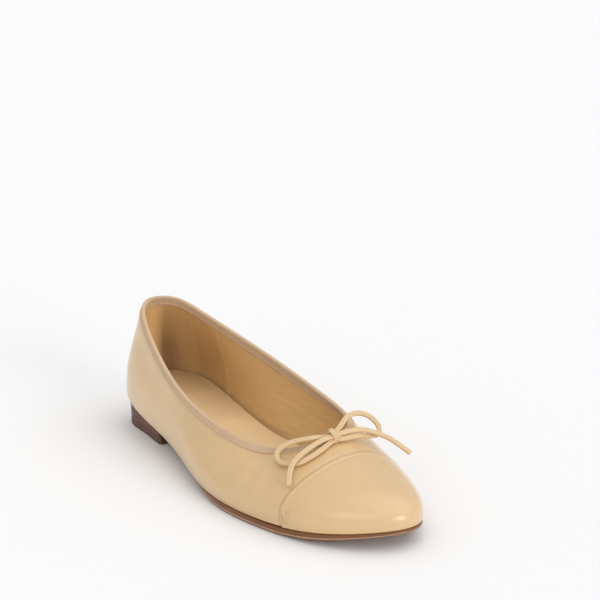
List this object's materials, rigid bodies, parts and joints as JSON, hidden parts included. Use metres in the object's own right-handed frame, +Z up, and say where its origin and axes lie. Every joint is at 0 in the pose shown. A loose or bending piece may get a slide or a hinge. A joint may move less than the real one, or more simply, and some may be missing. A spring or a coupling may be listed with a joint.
{
  "type": "ballet slipper",
  "caption": "Low ballet slipper for the right foot: leather upper with separate toe cap, ribbon-bound topline, small tied bow, thin leather sole and low stacked heel.",
  "frame": {"origin": "middle of the face that the heel stands on, on the floor plane", "axes": "+X towards the toe, +Y towards the inner side of the foot, +Z up"},
  "size_m": [0.241, 0.0851, 0.0727],
  "materials": {
    "upper_leather": "smooth beige calf, soft sheen",
    "lace_leather": "narrow folded beige leather lace",
    "ribbon": "fine-ribbed taupe ribbon",
    "cord": "cotton cord",
    "lining": "tan lining leather, lightly creased",
    "sock_leather": "beige sock leather",
    "sole_leather": "brown sole leather with a burnished edge",
    "heel_leather": "stacked brown heel leather",
    "rubber": "dark brown rubber",
    "board": "cellulose fibre board",
    "stiffener": "resin-stiffened felt",
    "cork": "ground cork",
    "foam": "latex foam",
    "steel": "plain steel"
  },
  "bodies": {
    "root": {"upper": "upper_leather", "toe_cap": "upper_leather", "bow_knot": "lace_leather", "bow_loop_outer": "lace_leather", "bow_loop_inner": "lace_leather", "bow_tail_outer": "lace_leather", "bow_tail_inner": "lace_leather", "topline_binding": "ribbon", "topline_cord": "cord", "quarter_lining": "lining", "vamp_lining": "lining", "sock": "sock_leather", "outsole": "sole_leather", "heel_lift_1": "heel_leather", "heel_lift_2": "heel_leather", "heel_lift_3": "heel_leather", "top_piece": "rubber", "insole_board": "board", "heel_counter": "stiffener", "toe_puff": "stiffener", "bottom_filler": "cork", "heel_pad": "foam", "shank": "steel", "shank_rivet_1": "steel", "shank_rivet_2": "steel", "heel_nail_1": "steel", "heel_nail_2": "steel", "heel_nail_3": "steel", "heel_nail_4": "steel", "heel_nail_5": "steel"}
  },
  "joints": []
}
